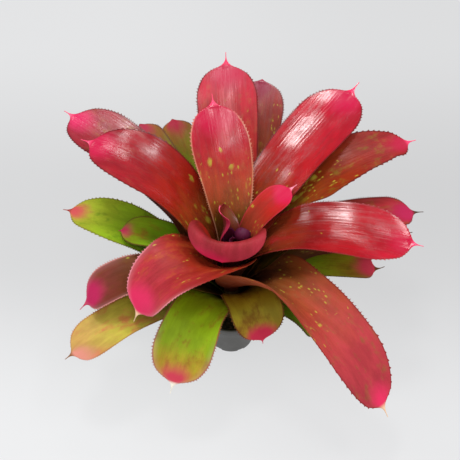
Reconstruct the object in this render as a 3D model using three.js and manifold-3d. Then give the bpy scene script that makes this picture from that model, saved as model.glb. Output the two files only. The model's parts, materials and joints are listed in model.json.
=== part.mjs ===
// A potted neoregelia bromeliad: a rosette of strap leaves whose sheaths wrap a short stem in a tank,
// and whose blades arch outwards and end in a spike. It stands in soil in a small round nursery pot.
// Millimetres, +Z up. The origin is the middle of the pot's foot, on the surface that it stands on.
import * as THREE from "three";
import { mergeVertices } from "three/addons/utils/BufferGeometryUtils.js";
import Module from "manifold-3d";

const wasm = await Module();
wasm.setup();

// ---- driving dimensions ----

const POT = {
  height: 56,
  footRadius: 27,
  rimRadius: 40, // outside of the rim band
  wall: 1.3,
  floor: 2,
  rimBand: 5, // height of the thicker band under the lip
  rimStep: 1.1, // how far the band stands out from the wall
  sides: 40,
  drainSlots: 6,
  slotWidth: 8,
  slotHeight: 2.5,
  slotBearing: 116, // of the first slot
  slotDepth: 9, // of the cutting box, which reaches in through the wall
};
const SOIL = { top: 49, mound: 2.5 };
const STEM = { bottom: 14, shoulder: 22, top: 168, footRadius: 13, topRadius: 5, sides: 12 };
const FIT = 0.3; // gap left between pieces that touch

const BLADE = {
  thickness: 1.0, // at the midrib
  margin: 0.7, // thickness at the edge
  columns: 4, // facets across
  pitch: 13, // one marginal tooth to each row of this length
  toothFrom: 0.4, // share of the length where the teeth start
  spikeRoot: 3.4, // half width where the spike leaves the blade
  spikeEnd: 0.45,
};

// What the leaves have in common unless one says otherwise.
//   foot       height where the leaf grows from the stem
//   bearing    direction of its sheath: 0 is +X, 90 is +Y
//   tip        where the rounded end lies: distance from the axis, bearing, height
//   width      of the blade at its widest
//   rise       pull of the sheath on the midrib: length, slope in degrees
//   fall       pull of the tip on the midrib: length, slope in degrees, down being negative
//   sheath     length of the part that is wrapped round the plant, and its full width
//   wrap       half angle that the sheath covers round the stem
//   lift       how far the neck's clockwise and anticlockwise margins are raised
//   waist      width of the neck between sheath and blade, as a share of the width
//   gutter     half angle of the blade's channel section at mid blade and at the tip
//   twist      roll of the blade about its midrib, its anticlockwise margin up being positive
//   point      length of the rounded end in half widths
//   spike      length of the spike, and how far it hooks upwards in degrees
//   tooth      how far a marginal tooth stands out
const COMMON = {
  sheath: [75, 66],
  wrap: 42,
  lift: [0, 0],
  waist: 0.9,
  gutter: [35, 15],
  twist: 0,
  point: 1.2,
  spike: [12, 0],
  tooth: 1.5,
};

// The oldest leaves, lowest on the stem. They are the greenest.
const OUTER = [
  {
    foot: 58, bearing: -146, tip: [210, -147.5, 108], width: 54, rise: [85, 50], fall: [90, -20],
    tone: "green",
  },
  {
    foot: 61, bearing: 6, tip: [168, -2, 132], width: 58, rise: [80, 56], fall: [80, -15],
    gutter: [30, 35], spike: [12, 30], tone: "green",
  },
  {
    foot: 64, bearing: 102, tip: [187, 113, 212], width: 42, rise: [85, 52], fall: [90, 25],
    spike: [5, -70], tone: "green",
  },
  {
    foot: 67, bearing: -58, tip: [125, -37.5, 96], width: 26, rise: [65, 60], fall: [50, -45],
    sheath: [75, 26], spike: [6, 0], tone: "green",
  },
  {
    foot: 70, bearing: 171, tip: [193, 167, 179], width: 64, rise: [85, 55], fall: [90, -2],
    waist: 0.8, gutter: [10, 10], point: 2, tone: "green",
  },
  {
    foot: 73, bearing: 124, tip: [184, 127, 225], width: 38, rise: [85, 60], fall: [90, 20],
    spike: [5, -70], tone: "green",
  },
  {
    foot: 76, bearing: -119, tip: [155, -114.5, 94], width: 67, rise: [76, 61], fall: [80, -50],
    twist: -14, tone: "green",
  },
  {
    foot: 79, bearing: 12, tip: [205, 9, 152], width: 46, rise: [85, 60], fall: [100, 0],
    tone: "mixed",
  },
  {
    foot: 82, bearing: -162, tip: [174, -160, 135], width: 56, rise: [82, 61], fall: [60, -45],
    waist: 0.85, tone: "mixed",
  },
  {
    foot: 85, bearing: 72, tip: [190, 79.5, 262], width: 64, rise: [80, 57], fall: [100, 35],
    spike: [6, -70], tone: "mixed",
  },
];

// The leaves between the outer ones and the red rosette.
const MIDDLE = [
  {
    foot: 88, bearing: -68, tip: [98, -69, 107], width: 66, rise: [75, 56], fall: [45, -66],
    spike: [6, 0], tone: "mixed",
  },
  {
    foot: 91, bearing: 180, tip: [128, 175, 178], width: 48, rise: [80, 60], fall: [50, -5],
    spike: [4, 0], tone: "green",
  },
  {
    foot: 94, bearing: 142, tip: [222, 147, 259], width: 75, rise: [95, 64], fall: [110, 10],
    point: 1.3, tone: "mixed",
  },
  {
    foot: 97, bearing: -54, tip: [237, -46.2, 94], width: 70, rise: [90, 63], fall: [125, -54],
    sheath: [80, 108], wrap: 78, lift: [30, 0], waist: 0.93, point: 1.9, spike: [16, 0],
    tone: "red",
  },
  {
    foot: 100, bearing: 18, tip: [214, 9, 186], width: 49, rise: [90, 61], fall: [100, -5],
    tone: "mixed",
  },
  {
    foot: 104, bearing: 53, tip: [218, 22.5, 247], width: 70, rise: [70, 54], fall: [120, -2],
    sheath: [70, 41], waist: 0.6, twist: 10, point: 2.6, tone: "mixed",
  },
  {
    foot: 106, bearing: 88, tip: [167, 91.8, 299], width: 72, rise: [100, 63], fall: [100, 45],
    waist: 0.85, point: 1.6, tone: "red",
  },
];

// The red rosette.
const INNER = [
  {
    foot: 109, bearing: 142, tip: [171, 157.5, 265], width: 86, rise: [90, 64], fall: [95, 2],
    sheath: [70, 40], waist: 1.05, twist: -5, point: 1.8, tone: "red",
  },
  {
    foot: 112, bearing: -84, tip: [137, -138.5, 156], width: 74, rise: [88, 69], fall: [70, -61],
    sheath: [110, 110], wrap: 84, lift: [0, 7], waist: 1.1, point: 1, tone: "red",
  },
  {
    foot: 116, bearing: -8, tip: [202, -10, 205], width: 68, rise: [95, 77], fall: [100, -10],
    sheath: [85, 60], waist: 1, gutter: [26, 15], twist: 14, point: 1.8, tone: "red",
  },
  {
    foot: 121, bearing: 50, tip: [204, 46, 274], width: 78, rise: [95, 75], fall: [100, 25],
    waist: 0.85, point: 1.5, tone: "red",
  },
  {
    foot: 124, bearing: 84, tip: [107, 101, 287], width: 72, rise: [95, 75], fall: [70, 45],
    waist: 1.05, point: 1.9, tone: "red",
  },
];

// The youngest leaves, flushed pink and purple round the heart.
const HEART = [
  {
    foot: 130, bearing: -98, tip: [57, -100, 198], width: 128, rise: [90, 74], fall: [38, -80],
    sheath: [130, 130], wrap: 88, point: 0.6, spike: [5, -80], tone: "heart",
  },
  {
    foot: 136, bearing: 26, tip: [75, 26, 223], width: 41, rise: [60, 76], fall: [35, 25],
    sheath: [50, 40], spike: [8, 0], tooth: 0.6, tone: "heart",
  },
  {
    foot: 142, bearing: 145, tip: [22, 140, 214], width: 24, rise: [45, 80], fall: [15, 80],
    sheath: [40, 30], spike: [6, 0], tooth: 0, tone: "heart",
  },
  {
    foot: 148, bearing: 20, tip: [17, 15, 196], width: 18, rise: [25, 75], fall: [15, 40],
    sheath: [25, 20], spike: [4, 0], tooth: 0, tone: "heart",
  },
  {
    foot: 152, bearing: 100, tip: [9, 90, 200], width: 16, rise: [25, 82], fall: [15, 80],
    sheath: [25, 18], spike: [4, 0], tooth: 0, tone: "heart",
  },
  {
    foot: 156, bearing: -90, tip: [9, -80, 194], width: 14, rise: [20, 80], fall: [12, 80],
    sheath: [20, 16], spike: [4, 0], tooth: 0, tone: "heart",
  },
];

const COLOURS = {
  green: 0x8aa329,
  mixed: 0x9c5a35,
  red: 0xb4383f,
  heart: 0xc62a52,
};

// ---- helpers ----

const rad = THREE.MathUtils.degToRad;
const lerp = THREE.MathUtils.lerp;
const smooth = (a, b, x) => THREE.MathUtils.smoothstep(x, a, b);
const AXIS = new THREE.Vector3(0, 0, 1);

const polar = (radius, degrees, z) =>
  new THREE.Vector3(radius * Math.cos(rad(degrees)), radius * Math.sin(rad(degrees)), z);

function stemRadius(z) {
  return lerp(STEM.footRadius, STEM.topRadius, (z - SOIL.top) / (STEM.top - SOIL.top));
}

function solid(geometry) {
  const bare = geometry.clone();
  bare.deleteAttribute("normal");
  bare.deleteAttribute("uv");
  const merged = mergeVertices(bare, 1e-4);
  const mesh = new wasm.Mesh({
    numProp: 3,
    vertProperties: merged.attributes.position.array,
    triVerts: new Uint32Array(merged.index.array),
  });
  return new wasm.Manifold(mesh);
}

function geometryOf(manifold) {
  const made = manifold.getMesh();
  const geometry = new THREE.BufferGeometry();
  geometry.setAttribute("position", new THREE.BufferAttribute(new Float32Array(made.vertProperties), 3));
  geometry.setIndex(new THREE.BufferAttribute(new Uint32Array(made.triVerts), 1));
  geometry.computeVertexNormals();
  return geometry;
}

// A solid of revolution about +Z from [radius, z] pairs that start and end on the axis.
function turned(profile, sides) {
  const points = profile.map(([r, z]) => new THREE.Vector2(r, z));
  return new THREE.LatheGeometry(points, sides).rotateX(Math.PI / 2);
}

function piece(name, geometry, color, roughness) {
  const material = new THREE.MeshStandardMaterial({ color, roughness, metalness: 0 });
  const mesh = new THREE.Mesh(geometry, material);
  mesh.name = name;
  return mesh;
}

// ---- pot, soil and stem ----

function pot() {
  const { height, footRadius, rimRadius, wall, floor, rimBand, rimStep } = POT;
  const wallTop = rimRadius - rimStep;
  const shell = turned(
    [
      [0, 0],
      [footRadius, 0],
      [wallTop, height - rimBand],
      [rimRadius, height - rimBand],
      [rimRadius, height],
      [wallTop - wall, height],
      [wallTop - wall, height - rimBand],
      [footRadius - wall, floor],
      [0, floor],
    ],
    POT.sides,
  );
  let cut = solid(shell);
  for (let i = 0; i < POT.drainSlots; i++) {
    const slot = new THREE.BoxGeometry(POT.slotDepth, POT.slotWidth, 2 * POT.slotHeight)
      .translate(footRadius - 2, 0, 0)
      .rotateZ(rad(POT.slotBearing + (360 / POT.drainSlots) * i));
    cut = cut.subtract(solid(slot));
  }
  return piece("pot", geometryOf(cut), 0x3c3c3b, 0.55);
}

function soil() {
  const inside = POT.rimRadius - POT.rimStep - POT.wall - FIT;
  const bottomRadius = POT.footRadius - POT.wall - 2 * FIT;
  const bottom = POT.floor + FIT;
  const hole = STEM.footRadius + FIT;
  const slope = (inside - bottomRadius) / (POT.height - POT.rimBand - bottom);
  const edgeRadius = bottomRadius + slope * (SOIL.top - bottom) - FIT;
  const profile = [
    [0, bottom],
    [bottomRadius, bottom],
    [edgeRadius, SOIL.top],
    [(edgeRadius + hole) / 2, SOIL.top + SOIL.mound * 0.7],
    [hole, SOIL.top + SOIL.mound],
    [hole, STEM.bottom - FIT],
    [0, STEM.bottom - FIT],
  ];
  return piece("soil", turned(profile, POT.sides), 0x1b1410, 0.95);
}

function stem() {
  const profile = [
    [0, STEM.bottom],
    [STEM.footRadius * 0.8, STEM.bottom],
    [STEM.footRadius, STEM.shoulder],
    [STEM.footRadius, SOIL.top],
    [STEM.topRadius, STEM.top - 3],
    [0, STEM.top],
  ];
  return piece("stem", turned(profile, STEM.sides), 0x6d6a3a, 0.8);
}

// ---- leaves ----

function midrib(leaf) {
  const start = polar(stemRadius(leaf.foot) + BLADE.thickness, leaf.bearing, leaf.foot);
  const [riseLength, riseSlope] = leaf.rise;
  const [fallLength, fallSlope] = leaf.fall;
  const [reach, bearing, height] = leaf.tip;
  const riseAngle = rad(riseSlope);
  const fallAngle = rad(fallSlope);
  const rise = polar(riseLength * Math.cos(riseAngle), leaf.bearing, riseLength * Math.sin(riseAngle));
  const fall = polar(fallLength * Math.cos(fallAngle), bearing, fallLength * Math.sin(fallAngle));
  const tip = polar(reach, bearing, height);
  return new THREE.CubicBezierCurve3(start, start.clone().add(rise), tip.clone().sub(fall), tip);
}

// Place, sideways and upward directions of the midrib at share t. Past 1 it runs on as the spike.
function frameAt(leaf, t) {
  const u = THREE.MathUtils.clamp(t, 0, 1);
  const at = leaf.rib.getPointAt(u);
  const along = leaf.rib.getTangentAt(u);
  const across = AXIS.clone().cross(along).normalize();
  const up = along.clone().cross(across);
  const roll = rad(leaf.twist) * smooth(0.25, 0.9, u);
  const side = across.clone().multiplyScalar(Math.cos(roll)).addScaledVector(up, Math.sin(roll));
  const face = up.clone().multiplyScalar(Math.cos(roll)).addScaledVector(across, -Math.sin(roll));
  const past = (t - u) * leaf.length;
  const hook = rad(leaf.spike[1]) * THREE.MathUtils.clamp(past / leaf.spike[0], 0, 1);
  at.addScaledVector(along, past * Math.cos(hook)).addScaledVector(face, past * Math.sin(hook));
  return { at, side, face };
}

// A point of the leaf's middle surface at share t of its length and distance v from the midrib. The sheath
// is turned round the plant's axis; the blade is bent across into a channel; one eases into the other.
function surface(leaf, t, v) {
  const { at, side, face } = frameAt(leaf, t);
  const wrapped = at.clone().applyAxisAngle(AXIS, v / Math.hypot(at.x, at.y));
  const gutter = lerp(leaf.gutter[0], leaf.gutter[1], smooth(0.5, 1, t));
  const bend = Math.max(rad(gutter) / (leaf.width / 2), 1e-4);
  const channel = at
    .clone()
    .addScaledVector(side, Math.sin(bend * v) / bend)
    .addScaledVector(face, (1 - Math.cos(bend * v)) / bend);
  const end = leaf.sheath[0] / leaf.length;
  const open = smooth(end * 0.6, end * 1.5, t);
  const neck = smooth(end * 0.3, end, t) * (1 - smooth(end * 1.3, end * 2.4, t));
  const outward = smooth(0, 0.8, (2 * Math.abs(v)) / leaf.sheath[1]);
  return wrapped.lerp(channel, open).addScaledVector(AXIS, leaf.lift[v < 0 ? 0 : 1] * neck * outward);
}

// Half width at share t, with the spike blended into the rounded end.
function halfWidth(leaf, t) {
  const full = leaf.width / 2;
  const end = leaf.sheath[0] / leaf.length;
  const { at } = frameAt(leaf, Math.min(t, 1));
  const stemWidth = rad(leaf.wrap) * Math.hypot(at.x, at.y);
  const waist = full * lerp(leaf.waist, 1, smooth(end, 0.75, t));
  const body = lerp(leaf.sheath[1] / 2, waist, smooth(end * 0.8, end * 1.6, t));
  const narrow = (stemWidth ** -4 + body ** -4) ** -0.25;
  const round = 1 - (leaf.point * full) / leaf.length;
  const x = THREE.MathUtils.clamp((t - round) / (1 - round), 0, 1);
  const blade = narrow * Math.sqrt(1 - x ** 2.2);
  const past = (t - 1) * leaf.length;
  const left = THREE.MathUtils.clamp((leaf.spike[0] - past) / (2 * leaf.spike[0]), 0, 1);
  const spike = BLADE.spikeEnd + 2 * BLADE.spikeRoot * left ** 1.5;
  return Math.cbrt(blade ** 3 + spike ** 3);
}

function rowsOf(leaf) {
  const round = 1 - (leaf.point * leaf.width) / 2 / leaf.length;
  const count = Math.max(6, Math.round((leaf.length * round) / BLADE.pitch));
  const rows = [];
  for (let i = 0; i <= count; i++) rows.push((round * i) / count);
  for (const x of [0.3, 0.6, 0.82, 0.95]) rows.push(lerp(round, 1, x));
  const past = leaf.spike[0] / leaf.length;
  rows.push(1 + past * 0.2, 1 + past * 0.5, 1 + past);
  return rows;
}

function leafGeometry(leaf) {
  const rows = rowsOf(leaf);
  const positions = [];
  const index = [];
  const put = (v) => positions.push(v.x, v.y, v.z) / 3 - 1;
  const quad = (a, b, c, d) => index.push(a, b, c, a, c, d);
  const top = [];
  const under = [];
  for (const t of rows) {
    const half = halfWidth(leaf, t);
    const topRow = [];
    const underRow = [];
    for (let c = 0; c <= BLADE.columns; c++) {
      const share = (2 * c) / BLADE.columns - 1;
      const v = share * half;
      const point = surface(leaf, t, v);
      const step = 0.5 / leaf.length;
      const along = surface(leaf, t + step, v).sub(surface(leaf, t - step, v));
      const across = surface(leaf, t, v + 0.5).sub(surface(leaf, t, v - 0.5));
      const normal = along.cross(across).normalize();
      const thick = lerp(BLADE.thickness, BLADE.margin, share * share) / 2;
      topRow.push(put(point.clone().addScaledVector(normal, thick)));
      underRow.push(put(point.clone().addScaledVector(normal, -thick)));
    }
    top.push(topRow);
    under.push(underRow);
  }
  const columns = BLADE.columns;
  for (let r = 0; r + 1 < rows.length; r++) {
    for (let c = 0; c < columns; c++) {
      quad(top[r][c], top[r + 1][c], top[r + 1][c + 1], top[r][c + 1]);
      quad(under[r][c], under[r][c + 1], under[r + 1][c + 1], under[r + 1][c]);
    }
  }
  // The two margins, each with a forward tooth to a row, and the two ends.
  const lastTooth = rows.length - 5;
  for (let r = 0; r + 1 < rows.length; r++) {
    for (const [c, sign] of [
      [0, -1],
      [columns, 1],
    ]) {
      const ring = [top[r][c], under[r][c], under[r + 1][c], top[r + 1][c]];
      if (sign < 0) ring.reverse();
      if (!leaf.tooth || rows[r] < BLADE.toothFrom || r > lastTooth) {
        quad(ring[3], ring[2], ring[1], ring[0]);
        continue;
      }
      const t = lerp(rows[r], rows[r + 1], 0.8);
      const apex = put(surface(leaf, t, sign * (halfWidth(leaf, t) + leaf.tooth)));
      for (let k = 0; k < 4; k++) index.push(ring[(k + 1) % 4], ring[k], apex);
    }
  }
  const last = rows.length - 1;
  for (let c = 0; c < columns; c++) {
    quad(top[0][c], top[0][c + 1], under[0][c + 1], under[0][c]);
    quad(top[last][c], under[last][c], under[last][c + 1], top[last][c + 1]);
  }
  const geometry = new THREE.BufferGeometry();
  geometry.setAttribute("position", new THREE.Float32BufferAttribute(positions, 3));
  geometry.setIndex(index);
  geometry.computeVertexNormals();
  return geometry;
}

function leaf(name, measures) {
  const made = { ...COMMON, ...measures };
  made.rib = midrib(made);
  made.length = made.rib.getLength();
  return piece(name, leafGeometry(made), COLOURS[made.tone], 0.4);
}

const plant = new THREE.Group();
plant.name = "neoregelia_bromeliad";
plant.add(pot(), soil(), stem());
const groups = { outer: OUTER, middle: MIDDLE, inner: INNER, heart: HEART };
for (const [group, leaves] of Object.entries(groups)) {
  leaves.forEach((measures, i) => plant.add(leaf(`${group}_leaf_${i + 1}`, measures)));
}

export default plant;
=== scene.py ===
import json
import math

import bpy
import numpy as np
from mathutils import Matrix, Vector

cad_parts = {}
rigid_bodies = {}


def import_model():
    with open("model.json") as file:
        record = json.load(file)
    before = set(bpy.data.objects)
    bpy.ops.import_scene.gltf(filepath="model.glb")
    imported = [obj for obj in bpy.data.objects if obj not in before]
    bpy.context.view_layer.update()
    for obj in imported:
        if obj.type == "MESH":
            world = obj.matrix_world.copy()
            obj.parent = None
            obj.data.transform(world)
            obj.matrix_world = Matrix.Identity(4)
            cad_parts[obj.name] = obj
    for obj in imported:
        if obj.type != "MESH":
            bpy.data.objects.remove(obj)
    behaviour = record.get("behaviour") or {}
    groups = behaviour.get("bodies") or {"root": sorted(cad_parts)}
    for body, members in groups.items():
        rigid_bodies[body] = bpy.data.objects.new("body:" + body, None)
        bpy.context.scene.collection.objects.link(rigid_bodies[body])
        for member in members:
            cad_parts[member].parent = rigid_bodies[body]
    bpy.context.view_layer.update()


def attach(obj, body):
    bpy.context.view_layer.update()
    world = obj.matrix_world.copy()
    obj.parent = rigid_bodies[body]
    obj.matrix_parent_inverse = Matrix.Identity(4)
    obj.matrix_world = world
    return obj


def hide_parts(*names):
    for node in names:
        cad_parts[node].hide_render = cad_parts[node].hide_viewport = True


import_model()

# ---- camera and lights ----
# The plant is looked down on from 45 degrees. Five small soft boxes hang over it and a pale room lights it
# evenly from all round, so that its shadow is faint and the leaves carry long soft highlights.

MM = 0.001
PICTURE = 460       # pixels on each side
FOCAL = 973         # focal length in those pixels
SENSOR = 36.0
AIM = Vector((-1.5, 0.0, 190.9)) * MM
DISTANCE = 1116 * MM
ELEVATION = math.radians(45)
ROOM_TINT = (1.0, 0.98, 0.95, 1.0)
ROOM_GLOW = 0.80    # of the pale room on matt surfaces
ROOM_SHEEN = 0.06   # of the room as glossy surfaces mirror it

scene = bpy.context.scene
camera = bpy.data.objects.new("camera", bpy.data.cameras.new("camera"))
camera.data.sensor_width = SENSOR
camera.data.lens = SENSOR * FOCAL / PICTURE
camera.data.clip_start = 0.05
camera.location = AIM + DISTANCE * Vector((0.0, -math.cos(ELEVATION), math.sin(ELEVATION)))
camera.rotation_euler = (math.pi / 2 - ELEVATION, 0.0, 0.0)
scene.collection.objects.link(camera)
scene.camera = camera
scene.view_settings.view_transform = "Standard"


def soft_box(name, place, size, power):
    """A rectangular lamp that faces the middle of the plant."""
    lamp = bpy.data.lights.new(name, "AREA")
    lamp.shape = "RECTANGLE"
    lamp.size, lamp.size_y = size
    lamp.energy = power
    box = bpy.data.objects.new(name, lamp)
    box.location = place
    box.rotation_euler = (AIM - Vector(place)).to_track_quat("-Z", "Y").to_euler()
    scene.collection.objects.link(box)


soft_box("soft_box_above", (-0.27, 0.14, 2.38), (0.40, 0.40), 17)
soft_box("soft_box_right", (0.98, -0.04, 2.28), (0.76, 0.30), 10)
soft_box("soft_box_front", (0.26, -1.38, 2.04), (0.80, 0.26), 6)
soft_box("soft_box_back", (0.20, 1.02, 2.30), (0.52, 0.26), 5)
soft_box("soft_box_left", (-1.40, 0.66, 2.02), (0.50, 0.30), 5)

world = bpy.data.worlds.new("pale_room")
world.use_nodes = True
tree = world.node_tree
path = tree.nodes.new("ShaderNodeLightPath")
level = tree.nodes.new("ShaderNodeMapRange")
level.inputs["To Min"].default_value = ROOM_GLOW
level.inputs["To Max"].default_value = ROOM_SHEEN
backdrop = tree.nodes["Background"]
backdrop.inputs["Color"].default_value = ROOM_TINT
tree.links.new(path.outputs["Is Glossy Ray"], level.inputs["Value"])
tree.links.new(level.outputs["Result"], backdrop.inputs["Strength"])
scene.world = world

# ---- pot ----
# A small nursery pot, blown and trimmed from thin grey-black polypropylene: a tapered wall, a stiffer rim
# band with a fine moulding line under it, and six drain slots where the wall meets the foot.

POT_HEIGHT = 56
POT_FOOT = 27       # outside radius of the foot
POT_RIM = 40        # outside radius of the rim band
POT_WALL = 1.3
POT_FLOOR = 2
POT_CORNER = 0.6    # how far the floor stops short of the wall's line
POT_SIDES = 144
RIM_BAND = 5        # height of the band
RIM_STEP = 1.1      # how far the band stands out
LINE_DEPTH = 0.25   # of the moulding line
DRAIN_HOLE = 2.0    # radius of the hole in the middle of the floor
DRAIN_SLOTS = 6
SLOT_DEPTH = 9      # from outside to inside
SLOT_INSET = 2      # of its middle from the edge of the foot
SLOT_WIDTH = 8
SLOT_HEIGHT = 2.5
SLOT_BEARING = 116  # of the first slot
BLOCK = [(a, b, c) for a in (-1, 1) for b in (-1, 1) for c in (-1, 1)]
BLOCK_FACES = [(0, 1, 3, 2), (4, 6, 7, 5), (0, 4, 5, 1), (2, 3, 7, 6), (0, 2, 6, 4), (1, 5, 7, 3)]


def paint(code):
    """A linear colour from a six-digit sRGB code."""
    parts = [int(code[i:i + 2], 16) / 255 for i in (0, 2, 4)]
    return tuple(c / 12.92 if c <= 0.04045 else ((c + 0.055) / 1.055) ** 2.4 for c in parts) + (1.0,)


class Finish:
    """A node material in the making. Most methods add one node and hand back its output."""

    def __init__(self, name):
        self.material = bpy.data.materials.new(name)
        self.material.use_nodes = True
        self.nodes = self.material.node_tree.nodes
        self.shader = self.nodes["Principled BSDF"]

    def feed(self, socket, value):
        if isinstance(value, bpy.types.NodeSocket):
            self.material.node_tree.links.new(value, socket)
        else:
            socket.default_value = value

    def node(self, kind, values, **settings):
        made = self.nodes.new("ShaderNode" + kind)
        for key, value in settings.items():
            setattr(made, key, value)
        for key, value in values.items():
            self.feed(made.inputs[key], value)
        return made

    def surface(self, **sockets):
        for key, value in sockets.items():
            self.feed(self.shader.inputs[key.replace("_", " ")], value)

    def place(self):
        return self.node("TexCoord", {}).outputs["Object"]

    def split(self, vector):
        return self.node("SeparateXYZ", {0: vector}).outputs

    def maths(self, operation, a, b=0.0):
        return self.node("Math", {0: a, 1: b}, operation=operation).outputs[0]

    def add(self, a, b):
        return self.maths("ADD", a, b)

    def times(self, a, b):
        return self.maths("MULTIPLY", a, b)

    def apart(self, a, b):
        return self.maths("ABSOLUTE", self.maths("SUBTRACT", a, b))

    def fade(self, value, start, end, low=0.0, high=1.0):
        values = {0: value, 1: start, 2: end, 3: low, 4: high}
        return self.node("MapRange", values, interpolation_type="SMOOTHSTEP").outputs[0]

    def mix(self, share, a, b, blend="MIX"):
        values = {0: share, 6: a, 7: b}
        return self.node("Mix", values, data_type="RGBA", blend_type=blend).outputs[2]

    def ramp(self, value, stops):
        made = self.node("ValToRGB", {0: value})
        elements = made.color_ramp.elements
        while len(elements) < len(stops):
            elements.new(0.5)
        for element, (position, colour) in zip(elements, stops):
            element.position = position
            element.color = paint(colour)
        return made.outputs[0]

    def scaled(self, place, size):
        scale = [1 / s for s in size]
        return self.node("Mapping", {"Vector": place, "Scale": scale}).outputs[0]

    def noise(self, place, size, detail=2.0, roughness=0.5):
        values = {"Vector": self.scaled(place, size), "Scale": 1, "Detail": detail, "Roughness": roughness}
        return self.node("TexNoise", values).outputs[0]

    def bump(self, height, depth, under=None):
        values = {"Height": height, "Distance": depth * MM, "Strength": 1.0}
        if under:
            values["Normal"] = under
        return self.node("Bump", values).outputs[0]


def mesh_piece(name, points, faces, material, smooth_angle=40):
    """An object from points in millimetres, smooth except across edges sharper than the angle."""
    mesh = bpy.data.meshes.new(name)
    mesh.from_pydata([tuple(p) for p in np.asarray(points) * MM], [], faces)
    mesh.materials.append(material)
    mesh.shade_smooth()
    mesh.set_sharp_from_angle(angle=math.radians(smooth_angle))
    piece = bpy.data.objects.new(name, mesh)
    scene.collection.objects.link(piece)
    return piece


def around(sides, count):
    """Faces that join each of the closed profiles round an axis to the next."""
    faces = []
    for i in range(sides):
        j = (i + 1) % sides
        for k in range(count):
            n = (k + 1) % count
            faces.append((i * count + k, j * count + k, j * count + n, i * count + n))
    return faces


def turned(profile, sides):
    """Points and faces of a closed profile of (radius, height) turned about the upright axis."""
    turn = np.linspace(0, 2 * np.pi, sides, endpoint=False)
    points = [(r * math.cos(a), r * math.sin(a), z) for a in turn for r, z in profile]
    return points, around(sides, len(profile))


def pot_profile():
    wall_top = POT_RIM - RIM_STEP
    band = POT_HEIGHT - RIM_BAND
    slope = (wall_top - POT_FOOT) / band
    foot = [  # a shallow recess under the floor, and the rounded edge
        (POT_FOOT - 9, 0.0), (POT_FOOT - 8, 0.6), (POT_FOOT - 3, 0.6), (POT_FOOT - 2.2, 0.0),
        (POT_FOOT - 0.5, 0.0), (POT_FOOT + 0.1, 0.5),
    ]
    wall = [(POT_FOOT + slope * z, z) for z in (3, 6, 10, 20, 30, 40)]
    line = ((46.6, 0), (46.9, LINE_DEPTH), (47.2, LINE_DEPTH), (47.5, 0), (50.2, 0))
    wall += [(POT_FOOT + slope * z - depth, z) for z, depth in line]
    rim = [
        (POT_RIM - 0.5, band), (POT_RIM - 0.1, band + 0.3), (POT_RIM, band + 0.9),
        (POT_RIM, POT_HEIGHT - 0.9), (POT_RIM - 0.25, POT_HEIGHT - 0.2), (POT_RIM - 0.8, POT_HEIGHT),
    ]
    inside = [
        (wall_top - POT_WALL + 0.5, POT_HEIGHT - 0.1), (wall_top - POT_WALL, POT_HEIGHT - 0.8),
        (wall_top - POT_WALL, band), (POT_FOOT - POT_WALL + 0.4, POT_FLOOR + 0.8),
        (POT_FOOT - POT_WALL - POT_CORNER, POT_FLOOR), (DRAIN_HOLE, POT_FLOOR), (DRAIN_HOLE, 0.0),
    ]
    return foot + wall + rim + inside


def pot_finish():
    """Grey-black plastic with a few dusty patches and long scuffs round the wall."""
    skin = Finish("grey_black_plastic")
    place = skin.place()
    patches = skin.noise(place, (0.02, 0.02, 0.02), 4)
    dust = skin.noise(place, (0.0012, 0.0012, 0.004), 6, 0.7)
    scuffs = skin.noise(place, (0.018, 0.018, 0.0007), 5, 0.7)
    tone = skin.mix(patches, paint("454544"), paint("5a5a58"))
    tone = skin.mix(skin.fade(dust, 0.55, 0.8, 0, 0.35), tone, paint("8a8680"))
    tone = skin.mix(skin.fade(scuffs, 0.62, 0.75, 0, 0.4), tone, paint("858583"))
    grain = skin.noise(place, (0.0006, 0.0006, 0.0006), 3)
    skin.surface(
        Base_Color=tone, Roughness=skin.fade(patches, 0.3, 0.7, 0.38, 0.55),
        Normal=skin.bump(grain, 0.05, skin.bump(scuffs, 0.08)),
    )
    return skin.material


def slot_cutter(number, material):
    """A block across the edge of the foot."""
    bearing = math.radians(SLOT_BEARING + 360 / DRAIN_SLOTS * number)
    c, s = math.cos(bearing), math.sin(bearing)
    size = np.array([SLOT_DEPTH / 2, SLOT_WIDTH / 2, SLOT_HEIGHT])
    block = np.array(BLOCK) * size + (POT_FOOT - SLOT_INSET, 0, 0)
    corners = [(x * c - y * s, x * s + y * c, z) for x, y, z in block]
    return mesh_piece(f"slot_cutter_{number}", corners, BLOCK_FACES, material)


points, faces = turned(pot_profile(), POT_SIDES)
pot = mesh_piece("nursery_pot", points, faces, pot_finish(), 30)
cutters = bpy.data.collections.new("slot_cutters")
for number in range(DRAIN_SLOTS):
    cutter = slot_cutter(number, pot.data.materials[0])
    scene.collection.objects.unlink(cutter)
    cutters.objects.link(cutter)
cut = pot.modifiers.new("drain_slots", "BOOLEAN")
cut.operation = "DIFFERENCE"
cut.operand_type = "COLLECTION"
cut.collection = cutters
cut.solver = "EXACT"
bpy.context.view_layer.update()
slotted = bpy.data.meshes.new_from_object(pot.evaluated_get(bpy.context.evaluated_depsgraph_get()))
pot.modifiers.clear()
pot.data = slotted
for cutter in list(cutters.objects):
    bpy.data.objects.remove(cutter)
bpy.data.collections.remove(cutters)
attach(pot, "root")
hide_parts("pot")

# ---- potting mix ----
# A damp black mix of peat and composted bark that fills the pot to just under its rim. It is loose, and
# it heaps a little against the stem, with chips of bark and a few grains of perlite lying on top.

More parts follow.
